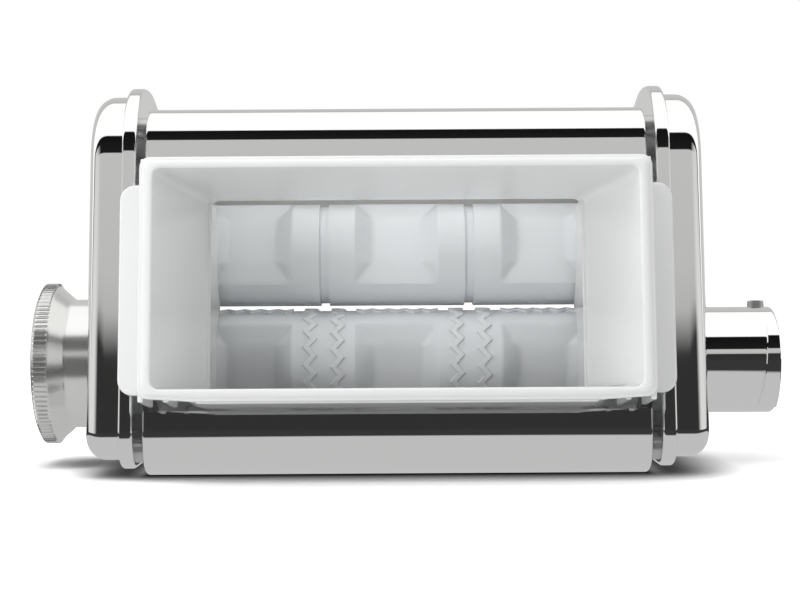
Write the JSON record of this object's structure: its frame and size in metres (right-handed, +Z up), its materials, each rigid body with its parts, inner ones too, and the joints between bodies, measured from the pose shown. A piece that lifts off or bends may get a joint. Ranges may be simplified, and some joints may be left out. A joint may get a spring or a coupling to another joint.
{
  "type": "pasta roller machine",
  "caption": "Ravioli roller head: two meshing pocketed rollers under a flared hopper, in a polished case with a turning knob and a coupling sleeve.",
  "frame": {"origin": "middle of the flat underside that the head rests on, on the middle plane of its length", "axes": "+X along the rollers towards the coupling sleeve, -Y towards the hopper mouth, +Z up"},
  "size_m": [0.2273, 0.1084, 0.1163],
  "materials": {
    "polished_steel": "polished",
    "satin_aluminium": "satin",
    "white_plastic": "gloss",
    "roller_plastic": "satin",
    "machined_steel": "machined",
    "bronze": "sintered",
    "gear_steel": "oiled"
  },
  "bodies": {
    "frame": {"left_end_plate": "polished_steel", "right_end_plate": "polished_steel", "left_cap": "polished_steel", "right_cap": "polished_steel", "upper_cover": "polished_steel", "lower_cover": "polished_steel", "hub_sleeve": "polished_steel", "upper_stripper": "roller_plastic", "lower_stripper": "roller_plastic", "tie_rods": "machined_steel", "tie_rod_screws": "machined_steel", "cap_posts": "machined_steel", "cap_screws": "machined_steel", "cover_screws": "machined_steel", "hub_pin": "machined_steel", "hub_end_plug": "machined_steel", "hub_screws": "machined_steel", "upper_left_bush": "bronze", "upper_right_bush": "bronze", "lower_left_bush": "bronze", "lower_right_bush": "bronze"},
    "lower_roller": {"crimp_roller": "roller_plastic", "lower_shaft": "machined_steel", "drive_gear": "gear_steel", "lower_clips": "gear_steel", "knob": "satin_aluminium", "knob_screw": "machined_steel"},
    "upper_roller": {"pocket_roller": "roller_plastic", "upper_shaft": "machined_steel", "driven_gear": "gear_steel", "upper_clips": "gear_steel"},
    "hopper_body": {"hopper": "white_plastic"}
  },
  "joints": [
    {"name": "lower_roller_turn", "type": "hinge", "parent": "frame", "child": "lower_roller", "pos_m": [0, 0.01075, 0.03133], "axis": [1, 0, 0], "continuous": true},
    {"name": "upper_roller_turn", "type": "hinge", "parent": "frame", "child": "upper_roller", "pos_m": [0, 0.01574, 0.06475], "axis": [1, 0, 0], "continuous": true},
    {"name": "hopper_slide", "type": "slide", "parent": "frame", "child": "hopper_body", "axis": [0, -0.989, 0.1478], "range_m": [0, 0.06]}
  ],
  "couplings": [
    {"joint": "upper_roller_turn", "follows": "lower_roller_turn", "ratio": -1}
  ]
}
